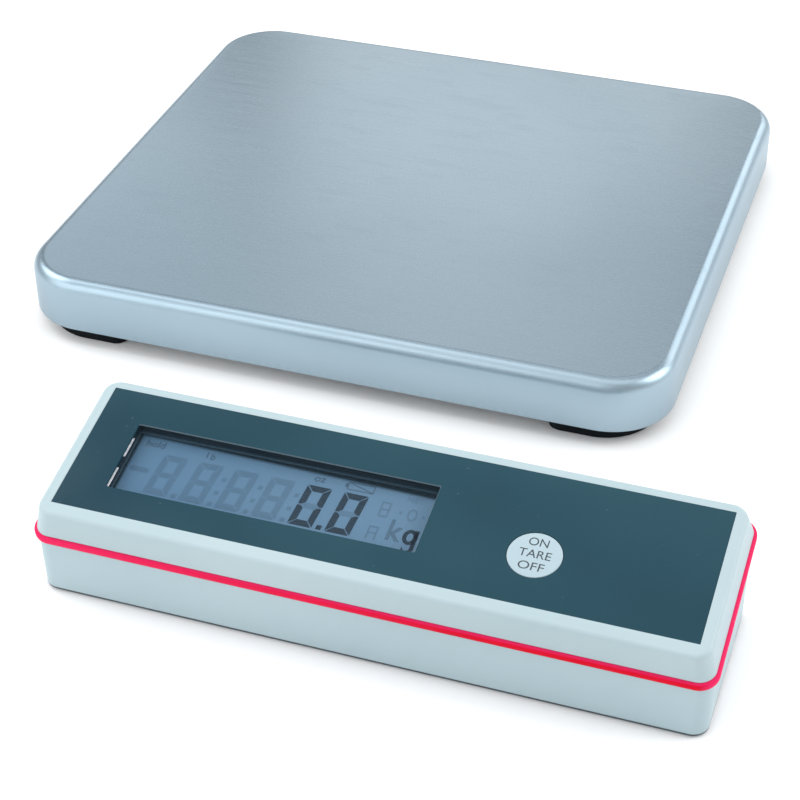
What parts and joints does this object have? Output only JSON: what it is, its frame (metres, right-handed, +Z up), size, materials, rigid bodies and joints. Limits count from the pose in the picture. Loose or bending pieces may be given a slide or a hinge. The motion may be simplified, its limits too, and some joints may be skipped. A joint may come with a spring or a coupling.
{
  "type": "platform shipping scale",
  "caption": "Low stainless weighing platform on rubber corner feet, with a separate wedge-shaped display terminal that has a tilted LCD panel and a round key, for weighing parcels.",
  "frame": {"origin": "centre of the bounding box of platform and terminal, on the surface that they stand on", "axes": "+Z up, +Y from the terminal to the platform's back, +X to the right as seen by the user"},
  "size_m": [0.389, 0.4719, 0.0587],
  "materials": {
    "stainless": "fine brushed stainless sheet",
    "zinc_steel": "zinc-plated steel",
    "aluminium": "milled aluminium",
    "black_rubber": "matt moulded rubber",
    "pale_plastic": "fine-textured moulded housing",
    "black_plastic": "matt moulding",
    "red_seal": "smooth red elastomer",
    "dark_foil": "satin printed foil",
    "clear_pane": "clear",
    "display": "grey-blue reflective display",
    "key_pale": "satin",
    "board": "green solder mask",
    "battery_case": "plain wrapped case",
    "lead": "cable sheath"
  },
  "bodies": {
    "platform_base": {"base_tray": "zinc_steel", "foot_1": "black_rubber", "foot_2": "black_rubber", "foot_3": "black_rubber", "foot_4": "black_rubber", "load_cell_1": "aluminium", "load_cell_2": "aluminium", "load_cell_3": "aluminium", "load_cell_4": "aluminium", "cell_screw_1a": "zinc_steel", "cell_screw_1b": "zinc_steel", "cell_screw_2a": "zinc_steel", "cell_screw_2b": "zinc_steel", "cell_screw_3a": "zinc_steel", "cell_screw_3b": "zinc_steel", "cell_screw_4a": "zinc_steel", "cell_screw_4b": "zinc_steel", "junction_board": "board", "cell_lead_1": "lead", "cell_lead_2": "lead", "cell_lead_3": "lead", "cell_lead_4": "lead", "cable_grommet": "black_rubber"},
    "load_buttons": {"load_button_1": "black_rubber", "load_button_2": "black_rubber", "load_button_3": "black_rubber", "load_button_4": "black_rubber"},
    "pan": {"weighing_pan": "stainless", "pan_stiffener": "zinc_steel"},
    "terminal": {"terminal_base": "pale_plastic", "terminal_cover": "pale_plastic", "seam_gasket": "red_seal", "front_foil": "dark_foil", "display_window": "clear_pane", "display_frame": "black_plastic", "lcd_glass": "display", "zebra_strip_1": "black_rubber", "zebra_strip_2": "black_rubber", "main_board": "board", "board_screw_1": "zinc_steel", "board_screw_2": "zinc_steel", "board_screw_3": "zinc_steel", "board_screw_4": "zinc_steel", "key_switch": "black_plastic", "battery": "battery_case", "battery_clip": "black_plastic", "battery_lead": "lead", "terminal_foot_1": "black_rubber", "terminal_foot_2": "black_rubber", "terminal_foot_3": "black_rubber", "terminal_foot_4": "black_rubber", "cover_screw_1": "zinc_steel", "cover_screw_2": "zinc_steel", "cover_screw_3": "zinc_steel", "cover_screw_4": "zinc_steel", "terminal_socket": "black_plastic", "signal_lead": "lead"},
    "key": {"key_cap": "key_pale", "switch_plunger": "black_plastic"},
    "door": {"battery_door": "pale_plastic"}
  },
  "joints": [
    {"name": "load_travel", "type": "slide", "parent": "platform_base", "child": "load_buttons", "axis": [0, 0, -1], "range_m": [0, 0.0005], "stiffness_N_per_m": 20000, "springref_m": -0.0016},
    {"name": "pan_lift", "type": "slide", "parent": "load_buttons", "child": "pan", "axis": [0, 0, 1], "range_m": [0, 0.06]},
    {"name": "terminal_slide", "type": "slide", "parent": "platform_base", "child": "terminal", "axis": [0, -1, 0], "range_m": [0, 0.25]},
    {"name": "key_press", "type": "slide", "parent": "terminal", "child": "key", "axis": [0, 0.2024, -0.9793], "range_m": [0, 0.0005], "stiffness_N_per_m": 800, "springref_m": -0.001},
    {"name": "door_hinge", "type": "hinge", "parent": "terminal", "child": "door", "pos_m": [0.00907, -0.18222, 0.002], "axis": [1, 0, 0], "range_deg": [0, 90]}
  ]
}
